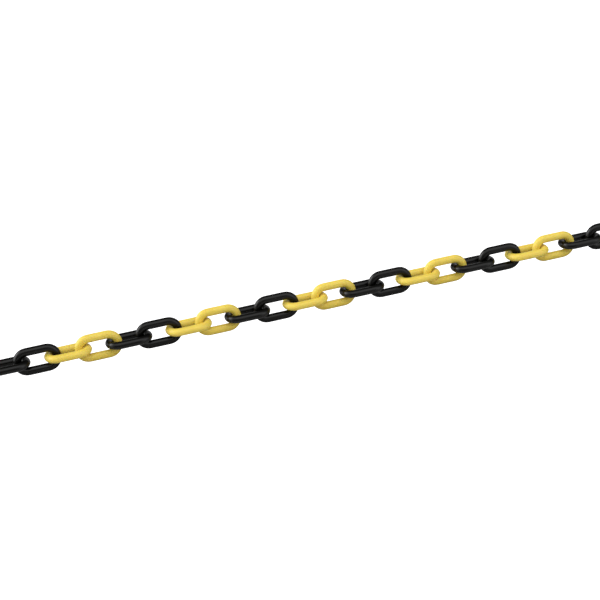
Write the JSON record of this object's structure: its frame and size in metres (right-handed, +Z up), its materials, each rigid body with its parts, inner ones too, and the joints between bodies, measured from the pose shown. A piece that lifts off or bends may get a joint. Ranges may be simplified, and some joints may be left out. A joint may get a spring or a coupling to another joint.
{
  "type": "plastic barrier chain",
  "caption": "Straight length of plastic barrier chain: closed moulded links in paired black and yellow, each a quarter turn from the last, free end eyes for hooks.",
  "frame": {"origin": "centre of the chain's length and width, level with the lowest line of the upright links", "axes": "+X along the chain from the first link to the last, +Z up, in the plane of the upright links, +Y across the flat links"},
  "size_m": [0.5354, 0.0206, 0.0206],
  "materials": {
    "black_plastic": "moulded black polyethylene, semi-gloss",
    "yellow_plastic": "moulded yellow polyethylene, semi-gloss"
  },
  "bodies": {
    "link_01": {"link_01_black_flat": "black_plastic"},
    "link_02": {"link_02_black_upright": "black_plastic"},
    "link_03": {"link_03_yellow_flat": "yellow_plastic"},
    "link_04": {"link_04_yellow_upright": "yellow_plastic"},
    "link_05": {"link_05_black_flat": "black_plastic"},
    "link_06": {"link_06_black_upright": "black_plastic"},
    "link_07": {"link_07_yellow_flat": "yellow_plastic"},
    "link_08": {"link_08_yellow_upright": "yellow_plastic"},
    "link_09": {"link_09_black_flat": "black_plastic"},
    "link_10": {"link_10_black_upright": "black_plastic"},
    "link_11": {"link_11_yellow_flat": "yellow_plastic"},
    "link_12": {"link_12_yellow_upright": "yellow_plastic"},
    "link_13": {"link_13_black_flat": "black_plastic"},
    "link_14": {"link_14_black_upright": "black_plastic"},
    "link_15": {"link_15_yellow_flat": "yellow_plastic"},
    "link_16": {"link_16_yellow_upright": "yellow_plastic"},
    "link_17": {"link_17_black_flat": "black_plastic"},
    "link_18": {"link_18_black_upright": "black_plastic"},
    "link_19": {"link_19_yellow_flat": "yellow_plastic"},
    "link_20": {"link_20_yellow_upright": "yellow_plastic"},
    "link_21": {"link_21_black_flat": "black_plastic"},
    "link_22": {"link_22_black_upright": "black_plastic"},
    "link_23": {"link_23_yellow_flat": "yellow_plastic"},
    "link_24": {"link_24_yellow_upright": "yellow_plastic"}
  },
  "joints": [
    {"name": "hook_01_02", "type": "hinge", "parent": "link_01", "child": "link_02", "pos_m": [-0.2367, 0, 0.0103], "axis": [0, 1, 0], "range_deg": [-120, 120]},
    {"name": "hook_02_03", "type": "hinge", "parent": "link_02", "child": "link_03", "pos_m": [-0.2149, 0, 0.0103], "axis": [0, 0, -1], "range_deg": [-120, 120]},
    {"name": "hook_03_04", "type": "hinge", "parent": "link_03", "child": "link_04", "pos_m": [-0.1931, 0, 0.0103], "axis": [0, -1, 0], "range_deg": [-120, 120]},
    {"name": "hook_04_05", "type": "hinge", "parent": "link_04", "child": "link_05", "pos_m": [-0.1713, 0, 0.0103], "axis": [0, 0, 1], "range_deg": [-120, 120]},
    {"name": "hook_05_06", "type": "hinge", "parent": "link_05", "child": "link_06", "pos_m": [-0.1495, 0, 0.0103], "axis": [0, 1, 0], "range_deg": [-120, 120]},
    {"name": "hook_06_07", "type": "hinge", "parent": "link_06", "child": "link_07", "pos_m": [-0.1277, 0, 0.0103], "axis": [0, 0, -1], "range_deg": [-120, 120]},
    {"name": "hook_07_08", "type": "hinge", "parent": "link_07", "child": "link_08", "pos_m": [-0.1059, 0, 0.0103], "axis": [0, -1, 0], "range_deg": [-120, 120]},
    {"name": "hook_08_09", "type": "hinge", "parent": "link_08", "child": "link_09", "pos_m": [-0.0841, 0, 0.0103], "axis": [0, 0, 1], "range_deg": [-120, 120]},
    {"name": "hook_09_10", "type": "hinge", "parent": "link_09", "child": "link_10", "pos_m": [-0.0623, 0, 0.0103], "axis": [0, 1, 0], "range_deg": [-120, 120]},
    {"name": "hook_10_11", "type": "hinge", "parent": "link_10", "child": "link_11", "pos_m": [-0.0405, 0, 0.0103], "axis": [0, 0, -1], "range_deg": [-120, 120]},
    {"name": "hook_11_12", "type": "hinge", "parent": "link_11", "child": "link_12", "pos_m": [-0.0187, 0, 0.0103], "axis": [0, -1, 0], "range_deg": [-120, 120]},
    {"name": "hook_12_13", "type": "hinge", "parent": "link_12", "child": "link_13", "pos_m": [0.0031, 0, 0.0103], "axis": [0, 0, 1], "range_deg": [-120, 120]},
    {"name": "hook_13_14", "type": "hinge", "parent": "link_13", "child": "link_14", "pos_m": [0.0249, 0, 0.0103], "axis": [0, 1, 0], "range_deg": [-120, 120]},
    {"name": "hook_14_15", "type": "hinge", "parent": "link_14", "child": "link_15", "pos_m": [0.0467, 0, 0.0103], "axis": [0, 0, -1], "range_deg": [-120, 120]},
    {"name": "hook_15_16", "type": "hinge", "parent": "link_15", "child": "link_16", "pos_m": [0.0685, 0, 0.0103], "axis": [0, -1, 0], "range_deg": [-120, 120]},
    {"name": "hook_16_17", "type": "hinge", "parent": "link_16", "child": "link_17", "pos_m": [0.0903, 0, 0.0103], "axis": [0, 0, 1], "range_deg": [-120, 120]},
    {"name": "hook_17_18", "type": "hinge", "parent": "link_17", "child": "link_18", "pos_m": [0.1121, 0, 0.0103], "axis": [0, 1, 0], "range_deg": [-120, 120]},
    {"name": "hook_18_19", "type": "hinge", "parent": "link_18", "child": "link_19", "pos_m": [0.1339, 0, 0.0103], "axis": [0, 0, -1], "range_deg": [-120, 120]},
    {"name": "hook_19_20", "type": "hinge", "parent": "link_19", "child": "link_20", "pos_m": [0.1557, 0, 0.0103], "axis": [0, -1, 0], "range_deg": [-120, 120]},
    {"name": "hook_20_21", "type": "hinge", "parent": "link_20", "child": "link_21", "pos_m": [0.1775, 0, 0.0103], "axis": [0, 0, 1], "range_deg": [-120, 120]},
    {"name": "hook_21_22", "type": "hinge", "parent": "link_21", "child": "link_22", "pos_m": [0.1993, 0, 0.0103], "axis": [0, 1, 0], "range_deg": [-120, 120]},
    {"name": "hook_22_23", "type": "hinge", "parent": "link_22", "child": "link_23", "pos_m": [0.2211, 0, 0.0103], "axis": [0, 0, -1], "range_deg": [-120, 120]},
    {"name": "hook_23_24", "type": "hinge", "parent": "link_23", "child": "link_24", "pos_m": [0.2429, 0, 0.0103], "axis": [0, -1, 0], "range_deg": [-120, 120]}
  ]
}
